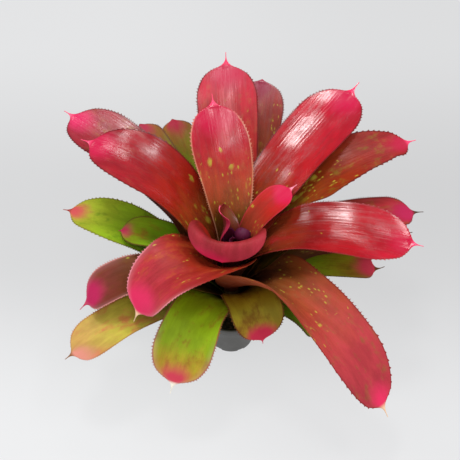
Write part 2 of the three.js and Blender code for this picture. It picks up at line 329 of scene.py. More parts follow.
MIX_TOP = 49
MIX_BOTTOM = POT_FLOOR + 0.3
MIX_MOUND = 2.5     # height of the heap at the middle
MIX_LUMPS = 0.55
MIX_SINK = 0.7      # how far the lumpy top lies under the full height
MIX_EDGE = 36.6     # radius at the top, just inside the pot's wall
MIX_SIDES = 96
MIX_RINGS = 24
STEM_FOOT = 13      # radius of the stem where it stands in the mix
STEM_HOLE = STEM_FOOT + 0.1
CHIPS = 170
CHIP_FIELD = (0.16, 0.88)  # of the mix's area, outwards, over which they lie
CHIP_LEAST = (1.4, 0.7, 0.4)  # half its length, width and height
CHIP_MOST = (3.2, 1.6, 0.9)
CHIP_BREAK = (0.6, 1.15)  # how far its corners stand in or out
CHIP_TILT = 0.4
CHIP_LIE = 0.2      # height of its middle over the surface
PERLITE_EVERY = 14  # one grain among so many chips
PERLITE_SIZE = (0.7, 1.1)  # half its width


def mix_finish(name, dark, light):
    skin = Finish(name)
    crumbs = skin.noise(skin.place(), (0.0035, 0.0035, 0.0035), 6, 0.7)
    tone = skin.mix(skin.fade(crumbs, 0.35, 0.7), paint(dark), paint(light))
    skin.surface(
        Base_Color=tone, Roughness=skin.fade(crumbs, 0.3, 0.7, 0.95, 0.6),
        Normal=skin.bump(crumbs, 1.2),
    )
    return skin.material


def mix_height(x, y):
    mound = MIX_MOUND * (1 - np.hypot(x, y) / MIX_EDGE)
    lumps = MIX_LUMPS * np.sin(x / 2.1 + 3 * np.sin(y / 5.3)) * np.cos(y / 1.7 + x / 6.1)
    return MIX_TOP + mound + lumps - MIX_SINK


def potting_mix():
    """The lumpy top from the stem out to the wall, then down along the wall and back along the floor."""
    radii = np.linspace(STEM_HOLE, MIX_EDGE, MIX_RINGS)
    floor = POT_FOOT - POT_WALL - POT_CORNER
    points = []
    for a in np.linspace(0, 2 * np.pi, MIX_SIDES, endpoint=False):
        c, s = math.cos(a), math.sin(a)
        points += list(zip(radii * c, radii * s, mix_height(radii * c, radii * s)))
        points += [(r * c, r * s, MIX_BOTTOM) for r in (floor, STEM_HOLE)]
    faces = [(face[0], *face[:0:-1]) for face in around(MIX_SIDES, MIX_RINGS + 2)]
    return points, faces


def bark_chips(random):
    """Small broken blocks, each turned at random and sunk by half into the surface."""
    points, faces, slots = [], [], []
    for number in range(CHIPS):
        radius = math.sqrt(random.uniform(*CHIP_FIELD)) * MIX_EDGE
        bearing = random.uniform(0, 2 * math.pi)
        x, y = radius * math.cos(bearing), radius * math.sin(bearing)
        perlite = number % PERLITE_EVERY == 0
        size = random.uniform(*PERLITE_SIZE, 3) if perlite else random.uniform(CHIP_LEAST, CHIP_MOST)
        block = np.array(BLOCK, float) * size * random.uniform(*CHIP_BREAK, (len(BLOCK), 1))
        spin, tilt = random.uniform(0, math.pi), random.uniform(-CHIP_TILT, CHIP_TILT)
        c, s = math.cos(spin), math.sin(spin)
        block = block @ np.array([[c, s, 0], [-s, c, 0], [0, 0, 1]])
        block[:, 2] += block[:, 0] * tilt
        first = len(points)
        points += [tuple(p) for p in block + (x, y, float(mix_height(x, y)) + CHIP_LIE)]
        faces += [tuple(first + k for k in face) for face in BLOCK_FACES]
        slots += [int(perlite)] * len(BLOCK_FACES)
    return points, faces, slots


points, faces = potting_mix()
mix = mesh_piece("potting_mix", points, faces, mix_finish("damp_peat", "0d0a08", "2a2019"), 60)
points, faces, slots = bark_chips(np.random.default_rng(4))
chips = mesh_piece("bark_chips", points, faces, mix_finish("composted_bark", "1c130d", "4a3524"), 20)
chips.data.materials.append(mix_finish("perlite", "b0aca4", "d8d5cf"))
chips.data.polygons.foreach_set("material_index", slots)
for piece in (mix, chips):
    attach(piece, "root")
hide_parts("soil")

# ---- stem ----
# A short woody stem, hidden in the leaf bases. It tapers upwards, and it is ringed by the scars of shed
# leaves.

STEM_BOTTOM = 14
STEM_TOP = 168
STEM_TIP = 5        # radius under the growing point
STEM_SIDES = 48
STEM_GAP = 0.4      # between its surface and the line from which the leaves grow
SCAR_PITCH = 4      # from one ring to the next
SCAR_DEPTH = 0.35


def stem_radius(z):
    share = (z - MIX_TOP) / (STEM_TOP - MIX_TOP)
    return STEM_FOOT + (STEM_TIP - STEM_FOOT) * share


def stem_profile():
    profile = [(0.5, STEM_BOTTOM), (STEM_FOOT * 0.8, STEM_BOTTOM), (STEM_FOOT - STEM_GAP, 22)]
    for z in np.arange(26, STEM_TOP - 4, SCAR_PITCH / 2):
        scar = SCAR_DEPTH if int(z) % SCAR_PITCH == 0 else 0.0
        profile.append((min(stem_radius(z), STEM_FOOT) - STEM_GAP - scar, z))
    return profile + [(STEM_TIP - 1, STEM_TOP - 2.5), (0.5, STEM_TOP)]


def stem_finish():
    skin = Finish("leaf_scarred_stem")
    fibres = skin.noise(skin.place(), (0.0009, 0.0009, 0.02), 5, 0.7)
    tone = skin.mix(fibres, paint("3a2412"), paint("7a6034"))
    skin.surface(Base_Color=tone, Roughness=0.8, Normal=skin.bump(fibres, 0.5))
    return skin.material


points, faces = turned(stem_profile(), STEM_SIDES)
stem = mesh_piece("stem", points, faces, stem_finish())
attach(stem, "root")
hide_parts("stem")

# ---- outer leaves ----
# The oldest leaves, lowest on the stem. Each is one tough strap about a millimetre thick: a sheath that
# wraps the stem, then an arching channelled blade with a spiny edge that ends in a hard spike.

THICKNESS = 1.0     # at the midrib
MEASURES = 201      # points at which a midrib is measured
COLUMNS = 20        # strips across a blade
ROWS_LEAST = 60     # along a blade up to its rounded end
ROW_PITCH = 1.4     # length of one row of faces
END_ROWS = 31       # rows in the rounded end
SPIKE_ROWS = 8
TOOTH_FROM = 0.4    # share of the length where the teeth start
TOOTH_SPREAD = (0.6, 1.25)  # of the teeth's sizes
END_POWER = 2.2     # of the curve of the rounded end
SPIKE_ROOT = 8.5    # half width where the spike leaves the blade
SPIKE_END = 0.4     # half width at its point
SPIKE_STOUT = 0.8   # its half thickness at most
SWELL_BACK = 9      # length behind the spike over which the rounded end swells
SWELL_SLOPE = 0.7
LONG_WAVES = 0.55   # height of the blade's long shallow waves
SHORT_WAVES = 0.25  # and of the short ones
KEEL_HEIGHT = 0.6   # of the ridge behind the spike
KEEL_WIDTH = 5
KEEL_LENGTH = 22
TONES_AT = (0.14, 0.34, 0.54, 0.74, 0.92)  # shares of the length where the five tones lie
POLISHED = 0.3      # less matt leaves have a wax that mirrors the lamps
WAXED, UNWAXED = 0.6, 0.16  # how much they mirror

# What the leaves have in common unless one says otherwise.
#   foot      height where the leaf grows from the stem
#   bearing   direction of its sheath: 0 is +X, 90 is +Y
#   tip       where the rounded end lies: distance from the axis, bearing, height
#   width     of the blade at its widest
#   rise      pull of the sheath on the midrib: length, slope in degrees
#   fall      pull of the tip on the midrib: length, slope in degrees, down being negative
#   sheath    length of the part that is wrapped round the plant, and its full width
#   wrap      half angle that the sheath covers round the stem
#   lift      how far the neck's clockwise and anticlockwise margins are raised
#   waist     width of the neck between sheath and blade, as a share of the width
#   gutter    half angle of the blade's channel section at mid blade and at the tip
#   twist     roll of the blade about its midrib, its anticlockwise margin up being positive
#   point     length of the rounded end in half widths
#   slant     share by which the clockwise side is narrower towards the end
#   tuck      shares by which the clockwise and anticlockwise sides are narrower under higher leaves
#   spike     length of the spike, and how far it hooks upwards in degrees
#   swell     how much the rounded end swells into the spike
#   tooth     rows from one tooth to the next, and the size of a tooth
#   tones     five colours from the sheath to the end of the blade, the first of them near black: partly the
#             sheaths' own dark brown, partly painted shade in the hollows of the tank
#   blotch    colour of the mottling, and how much of the blade it takes
#   flecks    share of the small cells that are pale, and the share of the length round which they lie
#   spots     the same for the larger round spots
#   flush     share of the length where the coloured tip starts, and its colour
#   lean      how much further down the flush runs on the anticlockwise margin
#   edge      colour of the margin, how strong it is, and the share of the length where it starts
#   bloom     how much the end of the blade is frosted along its margin
#   back      colour that dulls the underside
#   horn      colour of the spike
#   matt      roughness, lowest on the young and polished blades
#   kind      group of leaves with like colouring: green, mixed, red or heart
COMMON = dict(
    sheath=(75, 66), wrap=42, lift=(0, 0), waist=0.9, gutter=(35, 15), twist=0,
    point=1.2, slant=0, tuck=(0, 0), spike=(15, 0), swell=1, tooth=(2, 1.9),
    blotch=("8c5a1c", 0.3), flecks=(0.12, 0.5), spots=(0.0, 0.5), flush=(0.88, "d62e5c"), lean=0,
    edge=("561016", 0.75, 0.3), bloom=0, back="9c5034", horn="f04a74", matt=0.46, kind="mixed",
)
GREEN = dict(kind="green", flecks=(0, 0.5), back="6c7a2c")


def polar(radius, degrees, z):
    a = math.radians(degrees)
    return np.array([radius * math.cos(a), radius * math.sin(a), z])


def pull(length, slope, bearing):
    a = math.radians(slope)
    return polar(length * math.cos(a), bearing, length * math.sin(a))


def smooth(start, end, x):
    x = np.clip((x - start) / (end - start), 0, 1)
    return x * x * (3 - 2 * x)


def lerp(a, b, share):
    return a + (b - a) * share


def bezier(knots, u):
    u = np.asarray(u)[:, None]
    a, b, c, d = knots
    return a * (1 - u) ** 3 + 3 * b * u * (1 - u) ** 2 + 3 * c * u * u * (1 - u) + d * u ** 3


def slope_of(knots, u):
    u = np.asarray(u)[:, None]
    a, b, c, d = knots
    along = (b - a) * (1 - u) ** 2 + 2 * (c - b) * u * (1 - u) + (d - c) * u * u
    return along / np.linalg.norm(along, axis=1, keepdims=True)


def follow(leaf):
    """Adds the midrib, a cubic curve from the stem to the tip, and its measure along its length."""
    start = polar(stem_radius(leaf["foot"]) + THICKNESS, leaf["bearing"], leaf["foot"])
    tip = polar(*leaf["tip"])
    rise, fall = pull(*leaf["rise"], leaf["bearing"]), pull(*leaf["fall"], leaf["tip"][1])
    leaf["knots"] = knots = [start, start + rise, tip - fall, tip]
    u = np.linspace(0, 1, MEASURES)
    step = np.linalg.norm(np.diff(bezier(knots, u), axis=0), axis=1)
    leaf["measure"] = (np.concatenate([[0], np.cumsum(step)]), u)
    leaf["length"] = float(step.sum())
    leaf["rounded"] = 1 - leaf["point"] * leaf["width"] / 2 / leaf["length"]


def frame_at(leaf, t):
    """Position, sideways and upward directions of the midrib at shares t; past 1 it is the spike's."""
    inside = np.clip(t, 0, 1)
    u = np.interp(inside * leaf["length"], *leaf["measure"])
    at, along = bezier(leaf["knots"], u), slope_of(leaf["knots"], u)
    across = np.cross((0, 0, 1), along)
    across /= np.linalg.norm(across, axis=1, keepdims=True)
    up = np.cross(along, across)
    roll = (math.radians(leaf["twist"]) * smooth(0.25, 0.9, inside))[:, None]
    side = across * np.cos(roll) + up * np.sin(roll)
    face = up * np.cos(roll) - across * np.sin(roll)
    past = (t - inside) * leaf["length"]
    hook = math.radians(leaf["spike"][1]) * np.clip(past / leaf["spike"][0], 0, 1)
    at = at + along * (past * np.cos(hook))[:, None] + face * (past * np.sin(hook))[:, None]
    return at, side, face


def surface(leaf, t, v):
    """Points of the middle surface at shares t of the length and distances v from the midrib. The sheath
    is turned round the plant's axis, the blade is bent into a channel, and one eases into the other."""
    at, side, face = frame_at(leaf, t)
    t = t[:, None]
    x, y, z = at[:, 0:1], at[:, 1:2], at[:, 2:3]
    turn = v / np.hypot(x, y)
    c, s = np.cos(turn), np.sin(turn)
    wrapped = np.stack([x * c - y * s, x * s + y * c, z + 0 * v], -1)
    gutter = lerp(*leaf["gutter"], smooth(0.5, 1, t))
    bend = np.maximum(np.radians(gutter) / (leaf["width"] / 2), 1e-4)
    over = side[:, None] * (np.sin(bend * v) / bend)[..., None]
    channel = at[:, None] + over + face[:, None] * ((1 - np.cos(bend * v)) / bend)[..., None]
    end = leaf["sheath"][0] / leaf["length"]
    opened = smooth(end * 0.6, end * 1.5, t)[..., None]
    neck = smooth(end * 0.3, end, t) * (1 - smooth(end * 1.3, end * 2.4, t))
    outward = smooth(0, 0.8, 2 * np.abs(v) / leaf["sheath"][1])
    points = lerp(wrapped, channel, opened)
    points[..., 2] += np.where(v < 0, *leaf["lift"]) * neck * outward
    return points


def half_width(leaf, t):
    """Half width at shares t, with the spike blended into the rounded end."""
    full, end = leaf["width"] / 2, leaf["sheath"][0] / leaf["length"]
    at, _, _ = frame_at(leaf, np.minimum(t, 1))
    stem_width = math.radians(leaf["wrap"]) * np.hypot(at[:, 0], at[:, 1])
    waist = full * lerp(leaf["waist"], 1, smooth(end, 0.75, t))
    body = lerp(leaf["sheath"][1] / 2, waist, smooth(end * 0.8, end * 1.6, t))
    narrow = (stem_width ** -4 + body ** -4) ** -0.25
    x = np.clip((t - leaf["rounded"]) / (1 - leaf["rounded"]), 0, 1)
    blade = narrow * np.sqrt(1 - x ** END_POWER)
    past = (t - 1) * leaf["length"]
    left = 1 - np.clip(past / leaf["spike"][0], 0, 1)
    flare = np.minimum(SPIKE_ROOT, full / 4) * left ** 4 + np.clip(-past, 0, SWELL_BACK) * SWELL_SLOPE
    return np.cbrt(blade ** 3 + (SPIKE_END + leaf["swell"] * flare) ** 3)


def margin(leaf, t, side):
    """Distance from the midrib to the clockwise (-1) or anticlockwise (1) margin at shares t."""
    covered = smooth(0.2, 0.35, t)
    if side > 0:
        return half_width(leaf, t) * (1 - leaf["tuck"][1] * covered * (1 - smooth(0.68, 0.78, t)))
    cut = leaf["slant"] * smooth(0.55, 0.82, t) * (1 - smooth(0.93, 1, t))
    return half_width(leaf, t) * (1 - cut - leaf["tuck"][0] * covered * (1 - smooth(0.5, 0.62, t)))


def skin_at(leaf, t, v):
    """Points of the middle surface, dented and with the keel behind the spike, and their normals."""
    step = 0.5 / leaf["length"]
    along = surface(leaf, t + step, v) - surface(leaf, t - step, v)
    across = surface(leaf, t, v + 0.5) - surface(leaf, t, v - 0.5)
    normal = np.cross(along, across)
    normal /= np.linalg.norm(normal, axis=2, keepdims=True)
    mm = t[:, None] * leaf["length"]
    phase = leaf["foot"] * 1.7
    long_waves = LONG_WAVES * np.sin(mm / 19 + phase) * np.cos(v / 11 + phase)
    short_waves = SHORT_WAVES * np.sin(mm / 8 + v / 9 + phase)
    dents = (long_waves + short_waves) * smooth(0.35, 0.6, t)[:, None] * smooth(0, 0.1, 1 - t)[:, None]
    ridge = smooth(1 - KEEL_LENGTH / leaf["length"], 1, t)[:, None]
    keel = KEEL_HEIGHT * np.exp(-(v / KEEL_WIDTH) ** 2) * ridge
    return surface(leaf, t, v) + normal * (dents + keel)[..., None], normal


def leaf_rows(leaf):
    """Shares of the length where the rows lie: even along the blade, closer round the end."""
    rounded = leaf["rounded"]
    body = np.linspace(0, rounded, max(ROWS_LEAST, int(leaf["length"] * rounded / ROW_PITCH)))
    end = rounded + (1 - rounded) * (1 - np.linspace(1, 0, END_ROWS + 1)[1:] ** 1.5)
    past = leaf["spike"][0] / leaf["length"]
    return np.concatenate([body, end, 1 + past * np.linspace(0, 1, SPIKE_ROWS + 1)[1:]])


def half_thickness(leaf, rows, share):
    """Nearly even across the blade, thin at its margins and round in the spike."""
    blade = THICKNESS / 2 * (0.25 + 0.75 * np.sqrt(1 - share ** 8 * 0.9))
    stout = np.minimum(0.75 * half_width(leaf, rows), SPIKE_STOUT)[:, None]
    spike = smooth(1 - 3 / leaf["length"], 1 + 1 / leaf["length"], rows)[:, None]
    return lerp(blade, 0.1 + stout * np.sqrt(1 - share ** 2), spike)


def leaf_mesh(leaf, random):
    """Points and faces, and what each point carries: its place (share of the length, share of the half
    width, distance in from the margin), its place in the grain, and whether it is underneath."""
    rows = leaf_rows(leaf)
    share = np.sin(np.linspace(-0.5, 0.5, COLUMNS + 1) * np.pi)
    reach = np.where(share < 0, margin(leaf, rows, -1)[:, None], margin(leaf, rows, 1)[:, None])
    v = reach * share
    middle, normal = skin_at(leaf, rows, v)
    thick = normal * half_thickness(leaf, rows, share)[..., None]
    count, wide = len(rows), COLUMNS + 1

    def at(r, c, layer):
        return layer * count * wide + r * wide + c

    def quads(*corners):
        return np.stack(corners, 1).tolist()

    r, c = np.meshgrid(np.arange(count - 1), np.arange(COLUMNS), indexing="ij")
    r, c = r.ravel(), c.ravel()
    faces = quads(at(r, c, 0), at(r + 1, c, 0), at(r + 1, c + 1, 0), at(r, c + 1, 0))
    faces += quads(at(r, c, 1), at(r, c + 1, 1), at(r + 1, c + 1, 1), at(r + 1, c, 1))
    c, last = np.arange(COLUMNS), count - 1
    faces += quads(at(0, c, 0), at(0, c + 1, 0), at(0, c + 1, 1), at(0, c, 1))
    faces += quads(at(last, c, 0), at(last, c, 1), at(last, c + 1, 1), at(last, c + 1, 0))

    # Each margin is closed row by row, with a four-sided tooth in every second or third row.
    every, size = leaf["tooth"]
    blade_rows = range(count - SPIKE_ROWS - 2)
    toothed = np.array([i for i in blade_rows if i % every == 0 and rows[i] > TOOTH_FROM], int)
    tooth_t = rows[toothed + 1]
    apexes = []
    for column, side in ((0, -1), (COLUMNS, 1)):
        out = margin(leaf, tooth_t, side) + size * random.uniform(*TOOTH_SPREAD, len(tooth_t))
        apex_of = {int(i): 2 * count * wide + len(apexes) + k for k, i in enumerate(toothed)}
        apexes += list(skin_at(leaf, tooth_t, side * out[:, None])[0][:, 0])
        for i in range(count - 1):
            ring = [at(i, column, 0), at(i, column, 1), at(i + 1, column, 1), at(i + 1, column, 0)]
            if side < 0:
                ring.reverse()
            if i in apex_of:
                faces += [(ring[(k + 1) % 4], ring[k], apex_of[i]) for k in range(4)]
            else:
                faces.append(tuple(ring[::-1]))

    grid = np.stack([np.repeat(rows, wide), np.tile(share, count), (reach - np.abs(v)).ravel()], 1)
    tooth_side = np.repeat([-1.0, 1.0], len(tooth_t))
    teeth = np.stack([np.tile(tooth_t, 2), tooth_side, 0 * tooth_side - 1], 1)
    place = np.concatenate([grid, grid, teeth])
    grain = np.stack([
        place[:, 0] * leaf["length"],
        np.concatenate([v.ravel(), v.ravel(), tooth_side * leaf["width"] / 2]),
        np.full(len(place), leaf["foot"] * 3.7),
    ], 1)
    underneath = np.repeat([0, 1, 0.5], [len(grid), len(grid), len(teeth)])
    top, under = (middle + thick).reshape(-1, 3), (middle - thick).reshape(-1, 3)
    points = np.concatenate([top, under, np.array(apexes).reshape(-1, 3)])
    return points, faces, {"place": place, "grain": grain, "underneath": underneath}


def numbers(items, label):
    values = np.zeros(len(items), np.int32)
    items.foreach_get(label, values)
    return values


def leaf_map(mesh, place, underneath):
    """Flat map: the upper side fills the left half and the lower side the right half."""
    across = (place[:, 1] + 1) / 2 * 0.47
    x = np.where(underneath > 0.75, 0.98 - across, 0.02 + across)
    x = np.where(underneath == 0.5, np.where(place[:, 1] < 0, 0.01, 0.5), x)
    y = 0.01 + 0.98 * place[:, 0] / place[:, 0].max()
    corners = numbers(mesh.loops, "vertex_index")
    uv = np.stack([x[corners], y[corners]], 1)
    starts, totals = numbers(mesh.polygons, "loop_start"), numbers(mesh.polygons, "loop_total")
    low, high = np.minimum.reduceat(uv[:, 0], starts), np.maximum.reduceat(uv[:, 0], starts)
    seam = np.repeat(high - low > 0.5, totals)
    uv[:, 0] = np.where(seam & (uv[:, 0] > 0.9), 0.0, uv[:, 0])
    mesh.uv_layers.new(name="UVMap").data.foreach_set("uv", uv.astype(np.float32).ravel())


class LeafSkin(Finish):
    """Living leaf: five tones along it, broken up by mottling, spots, flecks and fine lengthwise veins,
    with a thin margin, a flushed tip, a horny spike and a duller underside dusted with pale scales. Its
    patterns are measured in millimetres along the leaf and across it."""

    def __init__(self, name, leaf):
        super().__init__(name)
        self.leaf = leaf
        self.grain = self.attribute("grain", "Vector")
        self.below = self.attribute("underneath", "Fac")
        self.t, self.share, self.edge = self.split(self.attribute("place", "Vector"))
        self.broad = self.noise(self.grain, (34, 16, 1), 3)
        self.patch = self.noise(self.grain, (11, 8, 1), 4, 0.6)
        self.streak = self.noise(self.grain, (45, 3.5, 1), 2)
        self.speck = self.noise(self.grain, (1.6, 1.2, 1), 3, 0.7)
        tone = self.ground()
        tone = self.unfilled(tone, leaf["flecks"], (5.0, 2.4, 1), 0.32)
        tone = self.unfilled(tone, leaf["spots"], (12, 8, 1), 0.25)
        tone = self.underside(self.flushed(self.edged(tone)))
        tone = self.mix(self.fade(self.t, 0.998, 1.02), tone, paint(leaf["horn"]))
        ribs = self.noise(self.grain, (70, 2.0, 1), 1, 0.4)
        pores = self.noise(self.grain, (1.4, 0.7, 1), 2)
        matt = leaf["matt"]
        rough = self.fade(self.patch, 0.3, 0.7, matt, matt + 0.1)
        rough = self.add(rough, self.fade(self.streak, 0.4, 0.65, 0, 0.07))
        self.surface(
            Base_Color=tone, Specular_IOR_Level=WAXED if matt < POLISHED else UNWAXED,
            Roughness=self.add(rough, self.times(self.below, 0.3)),
            Normal=self.bump(pores, 0.04, self.bump(ribs, 0.2)),
        )

    def attribute(self, label, output):
        return self.node("Attribute", {}, attribute_name=label).outputs[output]

    def ground(self):
        """The five tones, mottled, clouded and streaked."""
        shifted = self.add(self.t, self.fade(self.broad, 0.3, 0.7, -0.045, 0.045))
        shifted = self.add(shifted, self.fade(self.speck, 0.3, 0.7, -0.03, 0.03))
        # The first tone, near black at the sheath, is partly the sheaths' own dark brown and partly painted
        # shade in the tank's hollows.
        tone = self.ramp(shifted, list(zip(TONES_AT, self.leaf["tones"])))
        colour, amount = self.leaf["blotch"]
        mottled = self.add(self.times(self.patch, 0.5), self.times(self.broad, 0.5))
        taken = self.fade(mottled, 0.55 - 0.16 * amount, 0.74 - 0.16 * amount, 0, 0.75)
        tone = self.mix(taken, tone, paint(colour))
        bright = self.mix(1.0, tone, (1.1, 1.05, 1.06, 1), "MULTIPLY")
        deep = self.mix(1.0, tone, (0.88, 0.8, 0.82, 1), "MULTIPLY")
        clouds = self.noise(self.grain, (38, 17, 1), 4, 0.6)
        tone = self.mix(self.fade(clouds, 0.36, 0.64), deep, bright)
        dark = self.mix(1.0, tone, paint("b8a8a4"), "MULTIPLY")
        streaked = 0.24 if self.leaf["matt"] < 0.4 else 0.1
        tone = self.mix(self.fade(self.streak, 0.4, 0.75, 0, streaked), tone, dark)
        veins = self.noise(self.grain, (70, 0.9, 1), 3, 0.6)
        return self.mix(self.fade(veins, 0.45, 0.7, 0, 0.1), tone, dark)

    def unfilled(self, tone, amount, size, spread):
        """Ragged cells where the red has not filled in, crowded round one share of the length."""
        count, middle = amount
        if not count:
            return tone
        cells = self.node("TexVoronoi", {"Vector": self.scaled(self.grain, size), "Scale": 1.0})
        chance = self.node("SeparateColor", {0: cells.outputs["Color"]}).outputs[0]
        near = self.fade(self.apart(self.t, middle), spread, 0.04)
        crowd = self.times(near, self.fade(self.noise(self.grain, (22, 13, 1), 1), 0.45, 0.6))
        likely = self.maths("LESS_THAN", chance, self.times(crowd, count))
        ragged = self.add(cells.outputs["Distance"], self.times(self.speck, 0.4))
        spot = self.times(likely, self.fade(ragged, 0.82, 0.34, 0, 0.7))
        return self.mix(spot, tone, self.mix(self.patch, paint("c4a83c"), paint("a4b034")))

    def edged(self, tone):
        colour, strength, first = self.leaf["edge"]
        rim = self.fade(self.add(self.edge, self.patch), 2.4, 1.0, 0, strength)
        rim = self.times(rim, self.fade(self.t, first - 0.05, first + 0.05))
        return self.mix(rim, tone, paint(colour))

    def flushed(self, tone):
        """The coloured tip, whose border is rounded and a little uneven, and the frost along its margin."""
        start, colour = self.leaf["flush"]
        rounding = self.times(self.times(self.share, self.share), 0.1)
        uneven = self.add(self.t, self.fade(self.patch, 0.3, 0.7, -0.008, 0.008))
        tip = self.maths("SUBTRACT", uneven, rounding)
        tip = self.add(tip, self.times(self.share, self.leaf["lean"]))
        tone = self.mix(self.fade(tip, start - 0.03, start + 0.08), tone, paint(colour))
        if self.leaf["bloom"]:
            frost = self.fade(self.edge, 9, 0, 0, self.leaf["bloom"])
            tone = self.mix(self.times(frost, self.fade(self.t, 0.62, 0.8)), tone, paint("f6c4cc"))
        return tone

    def underside(self, tone):
        scales = self.fade(self.noise(self.grain, (3.2, 30, 1), 3, 0.6), 0.5, 0.75, 0, 0.2)
        dull = self.mix(scales, self.mix(0.5, tone, paint(self.leaf["back"])), paint("b09c8c"))
        return self.mix(self.below, tone, dull)


def grow(group, leaves, first=1):
    """Makes each leaf of a group in place of the solid with its name."""
    random = np.random.default_rng(len(group) + len(leaves))
    for number, measures in enumerate(leaves, first):
        leaf = {**COMMON, **measures}
        follow(leaf)
        points, faces, carried = leaf_mesh(leaf, random)
        skin = LeafSkin(f"{group}_leaf_skin_{number}", leaf)
        piece = mesh_piece(f"{group}_blade_{number}", points, faces, skin.material, 50)
        for label, values in carried.items():
            kind, field = ("FLOAT", "value") if values.ndim == 1 else ("FLOAT_VECTOR", "vector")
            layer = piece.data.attributes.new(label, kind, "POINT")
            layer.data.foreach_set(field, values.astype(np.float32).ravel())
        leaf_map(piece.data, carried["place"], carried["underneath"])
        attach(piece, "root")
        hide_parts(f"{group}_leaf_{number}")


grow("outer", [
    dict(
        GREEN, foot=58, bearing=-146, tip=(210, -147.5, 108), width=54,
        rise=(85, 50), fall=(90, -20), spike=(12, 0),
        tones=("2c3006", "9cb01c", "b0b438", "b8b044", "bc9850"), blotch=("c46c48", 0.4),
        flush=(0.93, "ce8474"), lean=0.12, edge=("a06038", 0.6, 0.3), horn="8a5a34",
    ),
    # Painted light: this leaf lies in the shade of a red leaf above it, and its tones and flush are painted
    # brighter than its own green and red to make up for that shade.
    dict(
        GREEN, foot=61, bearing=6, tip=(168, -2, 132), width=58, rise=(80, 56),
        fall=(80, -15), gutter=(30, 35), spike=(14, 30),
        tones=("2c3006", "84c41c", "8ccc20", "9cb024", "9a741e"), blotch=("6e6a10", 0.2),
        flush=(0.86, "d03c54"), horn="6a4420",
    ),
    dict(
        GREEN, foot=64, bearing=102, tip=(187, 113, 212), width=42,
        rise=(85, 52), fall=(90, 25), spike=(7, -70),
        tones=("2e3406", "4e7408", "64900c", "6c8412", "84601c"), flush=(0.9, "a4243c"), horn="4a3018",
    ),
    dict(
        GREEN, foot=67, bearing=-58, tip=(125, -37.5, 96), width=26, rise=(65, 60),
        fall=(50, -45), sheath=(75, 26), spike=(6, 0),
        tones=("2e3406", "4e7408", "54880c", "5a8c0c", "709810"), flush=(0.9, "a43438"), horn="5a3414",
    ),
    dict(
        GREEN, foot=70, bearing=171, tip=(193, 167, 179), width=64, rise=(85, 55), fall=(90, -2), waist=0.8,
        gutter=(10, 10), point=2, spike=(12, 0),
        tones=("2e3406", "507408", "709e0e", "8ab41a", "a6b82c"), blotch=("5a880c", 0.35),
        flush=(0.9, "d25656"), edge=("70501c", 0.6, 0.3), horn="a03c34",
    ),
    dict(
        GREEN, foot=73, bearing=124, tip=(184, 127, 225), width=38,
        rise=(85, 60), fall=(90, 20), spike=(7, -70),
        tones=("2e3406", "4e7408", "64900c", "6c7c10", "80561c"), flush=(0.9, "a42a44"), horn="4a3018",
    ),
    # Painted light: the middle of this leaf lies in the shade of the leaves above it, and its middle tones
    # are painted brighter than its own green to make up for that shade.
    dict(
        GREEN, foot=76, bearing=-119, tip=(155, -114.5, 94), width=67,
        rise=(76, 61), fall=(80, -50), twist=-14,
        tones=("2c3006", "98b814", "8cb414", "90b416", "ac8c2c"), blotch=("8c5c1c", 0.3),
        flush=(0.89, "c43c50"), edge=("94383a", 0.8, 0.3), bloom=0.1, horn="ece6d8",
    ),
    dict(
        foot=79, bearing=12, tip=(205, 9, 152), width=46, rise=(85, 60), fall=(100, 0),
        tones=("2a1804", "564e0e", "784014", "902a1a", "a2242c"), flush=(0.88, "aa1e48"), horn="4a3018",
        matt=0.34,
    ),
    dict(
        foot=82, bearing=-162, tip=(174, -160, 135), width=56, rise=(82, 61), fall=(60, -45), waist=0.85,
        tones=("2c1c06", "5a5410", "70401a", "6c361a", "78302a"), blotch=("6c4414", 0.25),
        flecks=(0.03, 0.6), flush=(0.86, "ae1c50"), lean=-0.03, edge=("c88078", 0.6, 0.45),
        bloom=0.08, horn="c03c5c",
    ),
    dict(
        foot=85, bearing=72, tip=(190, 78.6, 262), width=64, rise=(80, 57), fall=(100, 35), spike=(8, -70),
        tones=("2a1804", "665612", "86521e", "863424", "9a3432"), blotch=("8c7c20", 0.3),
        flecks=(0.5, 0.66), flush=(0.9, "902642"), horn="b03a50", matt=0.28,
    ),
])

# ---- middle leaves ----
# The leaves between the oldest ones and the red rosette. They are built as the outer ones are, and their
# blades have turned red over green, most of all towards the light at their ends.

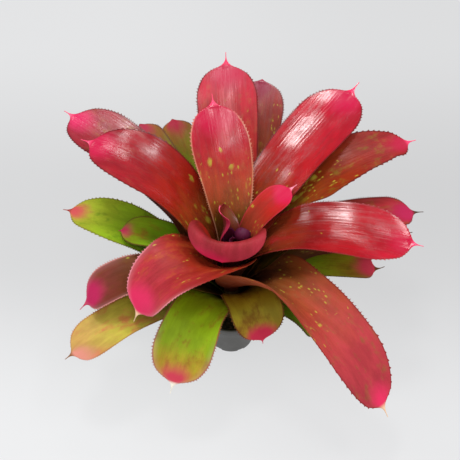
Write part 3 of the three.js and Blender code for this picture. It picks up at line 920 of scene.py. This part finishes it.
grow("middle", [
    dict(
        foot=88, bearing=-68, tip=(98, -69, 107), width=66, rise=(75, 56),
        fall=(45, -66), spike=(6, 0), swell=0.6,
        tones=("2c1c06", "8c7c12", "9c8c20", "949024", "988020"), blotch=("6c4014", 0.45), flecks=(0, 0.5),
        flush=(0.84, "c82c4c"), horn="d84868",
    ),
    dict(
        GREEN, foot=91, bearing=180, tip=(128, 175, 178), width=48, rise=(80, 60),
        fall=(50, -5), spike=(4, 0), swell=0.4,
        tones=("2e3406", "5a8c0a", "649c0e", "70a010", "7c9410"), flush=(0.91, "c43458"), horn="b03c4c",
    ),
    dict(
        foot=94, bearing=142, tip=(222, 147, 259), width=75, rise=(95, 64),
        fall=(110, 10), waist=0.5, point=1.3,
        tones=("281404", "683a1a", "86201c", "8c2226", "982636"), blotch=("94601c", 0.3),
        flecks=(0.08, 0.5), flush=(0.9, "ce225a"), matt=0.24,
    ),
    dict(
        foot=97, bearing=-54, tip=(237, -46.2, 94), width=70, rise=(90, 63), fall=(125, -54),
        sheath=(80, 108), wrap=78, lift=(30, 0), waist=1.2, point=2.2, spike=(18, 0), tooth=(3, 1.9),
        kind="red", tones=("24100a", "864a1f", "a0402a", "b03a40", "ac3440"), blotch=("8a5a30", 0.28),
        flecks=(0.22, 0.42), spots=(0.08, 0.6), flush=(0.91, "e02c5c"), lean=0.02,
        edge=("6e1a1c", 0.6, 0.3), back="b84c2c", horn="ecc4a0",
    ),
    dict(
        foot=100, bearing=18, tip=(214, 9, 186), width=49, rise=(90, 61), fall=(100, -5),
        tones=("2a1804", "564e0e", "863218", "90221a", "a22630"), flush=(0.88, "ae1e4c"), horn="4a3018",
        matt=0.34,
    ),
    dict(
        foot=104, bearing=53, tip=(219, 22.8, 249), width=72, rise=(70, 54), fall=(120, -2),
        sheath=(70, 41), waist=1.4, twist=10, point=2.6, slant=0.36, tuck=(0.4, 0.3),
        tones=("2a1804", "70420e", "863a14", "86260f", "902222"), blotch=("7c6a18", 0.3),
        flecks=(0.35, 0.5), spots=(0.6, 0.45), flush=(0.9, "ac1c3c"), matt=0.3,
    ),
    dict(
        foot=106, bearing=88, tip=(167, 92.1, 299), width=72, rise=(100, 63),
        fall=(100, 45), waist=0.85, spike=(17, 0),
        kind="red", tones=("281404", "623612", "a8322c", "b23638", "c02c42"), blotch=("a85a38", 0.2),
        flecks=(0.12, 0.6), flush=(0.88, "c22a4c"), horn="e83a64", matt=0.2,
    ),
])

# ---- inner leaves ----
# The red rosette, the plant's show leaves. Their blades are crimson, glossy and flecked with yellow-green
# where the red has not filled in, and their swollen tips are a hot pink.

grow("inner", [
    dict(
        foot=109, bearing=142, tip=(171, 157.5, 265), width=86, rise=(90, 64), fall=(95, 2),
        sheath=(70, 40), waist=1.05, twist=-5, point=1.8,
        kind="red", tones=("280c06", "94461a", "9c2214", "981c24", "961e2c"), blotch=("983428", 0.2),
        flecks=(0.06, 0.35), spots=(0.3, 0.34), flush=(0.87, "bc1844"), matt=0.16,
    ),
    dict(
        foot=112, bearing=-84, tip=(137, -138.5, 156), width=74, rise=(88, 69), fall=(70, -61),
        sheath=(110, 110), wrap=84, lift=(0, 7), waist=1.1, point=1.1,
        kind="red", tones=("200a08", "9c3418", "942a18", "a02830", "b83444"), blotch=("a84c20", 0.3),
        flecks=(0.1, 0.55), flush=(0.84, "d42a5a"), edge=("e08898", 0.6, 0.72), bloom=0.12,
        horn="ecc4a0", matt=0.36,
    ),
    dict(
        foot=116, bearing=-8, tip=(202, -10, 205), width=70, rise=(95, 77), fall=(100, -10),
        sheath=(85, 60), waist=1, gutter=(26, 15), twist=14, point=1.8,
        kind="red", tones=("1e0c0a", "7a3418", "861010", "a00e1a", "b4142c"), blotch=("9c1c20", 0.15),
        flecks=(0.05, 0.3), flush=(0.89, "b81038"), edge=("90202c", 0.6, 0.3), matt=0.15,
    ),
    dict(
        foot=121, bearing=50, tip=(204, 46, 274), width=80, rise=(95, 75), fall=(100, 25),
        waist=0.85, point=1.25, spike=(18, 0),
        kind="red", tones=("280c06", "8e3a1c", "a81a1c", "ac1828", "ae162e"), blotch=("a01c28", 0.2),
        flecks=(0.06, 0.4), flush=(0.87, "be1a44"), horn="f83a68", matt=0.14,
    ),
    dict(
        foot=124, bearing=84, tip=(107, 101, 287), width=72, rise=(95, 75),
        fall=(70, 45), waist=1.05, point=1.5,
        kind="red", tones=("36140e", "744e1c", "b0482c", "ac202c", "b81c36"), blotch=("a8582c", 0.2),
        flecks=(0.3, 0.45), spots=(0.5, 0.6), flush=(0.82, "c01640"), edge=("d8a080", 0.5, 0.1),
        horn="f84a74", matt=0.18,
    ),
])

# ---- heart leaves ----
# The young leaves that stand round the tank: a broad scoop at the front, a narrow one beside it and one
# still curled into a tube. They grow as the others do, but are softer and nearly without spines.

grow("heart", [
    dict(
        foot=130, bearing=-98, tip=(57, -100, 198), width=128, rise=(90, 74), fall=(38, -80),
        sheath=(130, 130), wrap=88, point=0.6, spike=(1.5, -80), swell=0.25, tooth=(2, 0.5),
        kind="heart", tones=("1c0a08", "9c2c1a", "b42c1c", "7c1e1a", "a42c3c"), blotch=("8c1c24", 0.2),
        flecks=(0, 0.7), flush=(0.93, "cc2250"), lean=-0.1, edge=("d85070", 0.5, 0.95),
        back="a03038", horn="a03050", matt=0.5,
    ),
    dict(
        foot=136, bearing=26, tip=(75, 26, 223), width=41, rise=(60, 76), fall=(35, 25), sheath=(50, 40),
        spike=(10, 0), swell=0.7, tooth=(3, 0.4),
        kind="heart", tones=("30100c", "6c3418", "9c3c28", "ac241c", "c01c30"), blotch=("a03424", 0.2),
        flecks=(0.25, 0.45), flush=(0.8, "c81c48"), edge=("c83048", 0.5, 0.3), back="a83040",
        horn="f890a8", matt=0.3,
    ),
    dict(
        foot=142, bearing=105, tip=(22, 128, 211), width=54, rise=(45, 80), fall=(15, 80), sheath=(40, 40),
        wrap=88, waist=1, gutter=(100, 85), twist=30, point=1.5, spike=(2, 0), swell=0.5, tooth=(3, 0),
        kind="heart", tones=("1a0410", "4c1020", "64241a", "744420", "8c2c2c"), blotch=("7c3020", 0.2),
        flecks=(0, 0.5), flush=(2.1, "dc2c60"), lean=2, edge=("8c2038", 0.5, 0.3),
        back="801830", horn="e05070", matt=0.22,
    ),
])

# ---- rolled bud ----
# A young leaf that is still rolled up. It stands in the tank as a plump bud, soft, dull and deep purple,
# and it is a little wider and higher on one side, where its outer edge laps over.

BUD_AT = (12.4, 3.0)
BUD_PROFILE = [     # radius and height
    (0.3, 164), (3, 165), (6.5, 171), (9.0, 177), (9.2, 182), (7.4, 186), (4.2, 188.5), (0.3, 189.5),
]
BUD_SIDES = 60
BUD_GROWTH = (0.86, 1.12)  # of its radius once round
BUD_RISE = 1.5      # up and down once round


def rolled_leaf():
    points, faces = turned(BUD_PROFILE, BUD_SIDES)
    points = np.array(points).reshape(BUD_SIDES, len(BUD_PROFILE), 3)
    points[..., :2] *= np.linspace(*BUD_GROWTH, BUD_SIDES)[:, None, None]
    points[..., 2] += np.linspace(-BUD_RISE, BUD_RISE, BUD_SIDES)[:, None]
    return points.reshape(-1, 3) + (*BUD_AT, 0), faces


def bud_finish():
    skin = Finish("purple_bud")
    place = skin.place()
    height = skin.split(place)[2]
    streaks = skin.noise(place, (0.0016, 0.0016, 0.02), 3)
    tone = skin.mix(skin.fade(height, 0.172, 0.190), paint("26081a"), paint("5c183c"))
    tone = skin.mix(skin.fade(streaks, 0.4, 0.7, 0, 0.5), tone, paint("40102c"))
    skin.surface(Base_Color=tone, Roughness=0.55, Specular_IOR_Level=0.2)
    return skin.material


points, faces = rolled_leaf()
bud = mesh_piece("rolled_bud", points, faces, bud_finish(), 50)
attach(bud, "root")
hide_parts("heart_leaf_4")

# ---- innermost leaves ----
# The youngest leaves, two small dark purple tongues beside the bud at the growing point. They are thin and
# soft, with no spines and no bright tips yet.

TONGUE = dict(
    spike=(2, 0), swell=0.4, tooth=(3, 0),
    kind="heart", tones=("1e061a", "2a0818", "380c22", "440e26", "4c102a"), blotch=("3a0a28", 0.2),
    flecks=(0, 0.5), flush=(0.9, "4c102a"), edge=("6c2458", 0.3, 0.3), back="401030",
    horn="4c102a", matt=0.3,
)

grow("heart", [
    dict(
        TONGUE, foot=152, bearing=112, tip=(11, 112, 184), width=26, rise=(25, 82), fall=(15, 80),
        sheath=(25, 18), wrap=84, gutter=(12, 6), point=1.1,
    ),
    dict(
        TONGUE, foot=156, bearing=-90, tip=(8, -80, 186), width=14,
        rise=(20, 80), fall=(12, 80), sheath=(20, 16),
    ),
], 5)

# ---- table top ----
# The plain table that the pot stands on, of matt white laminate. It glows, which is painted light that
# keeps it pale and its shadow faint, and the glow is painted stronger towards the viewer and to the left
# and weaker in a band behind the plant, as painted light and shade. It is no part of the plant.

TABLE_REACH = 6000  # from the middle to each edge
TABLE_GLOW = 0.62   # of its surface, before the lighter and duller parts


def table_finish():
    skin = Finish("pale_table")
    across, away, _ = skin.split(skin.place())
    # Painted light and shade: the glow rises towards the viewer and on the left, and falls in a band behind
    # the plant.
    front = skin.fade(away, -0.18, 0.14, 0.09, 0.0)
    left = skin.fade(across, -0.25, 0.3, 0.03, -0.02)
    band = skin.fade(skin.apart(away, 0.26), 0.4, 0.0, 0.0, -0.09)
    glow = skin.add(skin.add(front, left), skin.add(band, TABLE_GLOW))
    skin.surface(
        Base_Color=paint("5a5a5a"), Roughness=0.9, Specular_IOR_Level=0.1,
        Emission_Color=paint("fcfdff"), Emission_Strength=glow,
    )
    return skin.material


corners = [(x * TABLE_REACH, y * TABLE_REACH, 0) for x, y in ((-1, -1), (1, -1), (1, 1), (-1, 1))]
table = mesh_piece("table_top", corners, [(0, 1, 2, 3)], table_finish())
